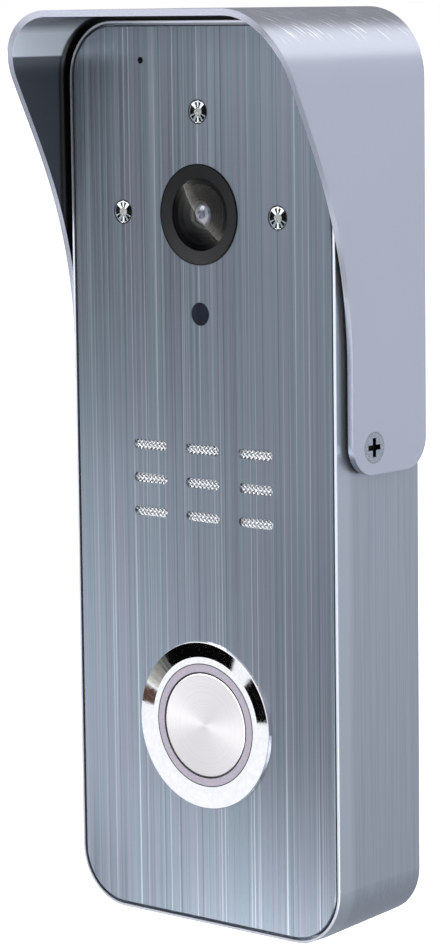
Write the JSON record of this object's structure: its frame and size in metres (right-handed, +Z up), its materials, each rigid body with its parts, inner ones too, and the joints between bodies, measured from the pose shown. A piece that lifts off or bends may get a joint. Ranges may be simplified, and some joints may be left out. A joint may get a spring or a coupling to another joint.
{
  "type": "video doorbell",
  "caption": "Slim wall-mounted video doorbell with a brushed metal face, camera lens, speaker slots, lit round call button and a bent metal rain hood screwed to its sides.",
  "frame": {"origin": "centre of the wall bracket's back face, on the wall plane", "axes": "+X to the right seen from the front, +Y into the wall, +Z up"},
  "size_m": [0.0538, 0.034, 0.1352],
  "materials": {
    "cast_aluminium": "satin cast and painted silver",
    "brushed_plate": "vertically brushed",
    "hood_aluminium": "satin",
    "stainless_screws": "satin",
    "chrome": "polished",
    "button_steel": "spin brushed",
    "light_guide": "frosted",
    "black_anodised": "matte black anodised",
    "optical_glass": "polished",
    "smoked_acrylic": "gloss",
    "black_rubber": "matte",
    "black_abs": "fine texture",
    "zinc_steel": "zinc plated",
    "steel_mesh": "woven",
    "green_board": "solder mask",
    "black_epoxy": "moulded",
    "green_nylon": "moulded",
    "brass": "plain",
    "spring_steel": "drawn wire",
    "red_pvc": "extruded",
    "paper_cone": "pressed paper",
    "adhesive_film": "foam tape",
    "ferrite": "sintered",
    "white_acetal": "moulded",
    "clear_epoxy": "cast",
    "nickel_can": "drawn"
  },
  "bodies": {
    "unit": {"back_cover": "black_abs", "back_cover_screws": "stainless_screws", "back_gasket": "black_rubber", "board_connector": "black_abs", "board_parts": "black_epoxy", "board_screws": "stainless_screws", "bracket_lock_screw": "stainless_screws", "button_bezel": "chrome", "button_gasket": "black_rubber", "button_nut": "brass", "cable_grommet": "black_rubber", "camera_board": "green_board", "fixed_contacts": "brass", "front_board": "green_board", "front_board_header": "black_abs", "front_lens": "optical_glass", "front_plate": "brushed_plate", "hood_screws": "stainless_screws", "hood_seal": "black_rubber", "housing_shell": "cast_aluminium", "image_sensor": "black_epoxy", "inner_wires": "red_pvc", "ir_leds": "clear_epoxy", "led_lenses": "optical_glass", "led_reflectors": "chrome", "lens_barrel": "black_anodised", "lens_bezel": "black_anodised", "lens_holder": "black_abs", "lens_window": "optical_glass", "light_ring": "light_guide", "light_sensor": "black_epoxy", "main_board": "green_board", "mic_capsule": "nickel_can", "mic_gasket": "black_rubber", "plate_film": "adhesive_film", "processor_chip": "black_epoxy", "rain_hood": "hood_aluminium", "rear_lens": "optical_glass", "return_spring": "spring_steel", "ring_board": "green_board", "ring_leds": "clear_epoxy", "sensor_window": "smoked_acrylic", "speaker_clamp": "zinc_steel", "speaker_cone": "paper_cone", "speaker_frame": "zinc_steel", "speaker_gasket": "black_rubber", "speaker_magnet": "ferrite", "speaker_mesh": "steel_mesh", "switch_base": "black_abs", "switch_body": "black_abs", "terminal_block": "green_nylon", "terminal_board": "green_board", "terminal_screws": "brass", "wall_bracket": "zinc_steel", "window_gasket": "black_rubber"},
    "button": {"button_cap": "button_steel", "plunger": "white_acetal", "moving_contact": "brass"}
  },
  "joints": [
    {"name": "button_press", "type": "slide", "parent": "unit", "child": "button", "axis": [0, 1, 0], "range_m": [0, 0.00095], "stiffness_N_per_m": 1500, "springref_m": -0.001, "deforming": ["return_spring"]}
  ]
}
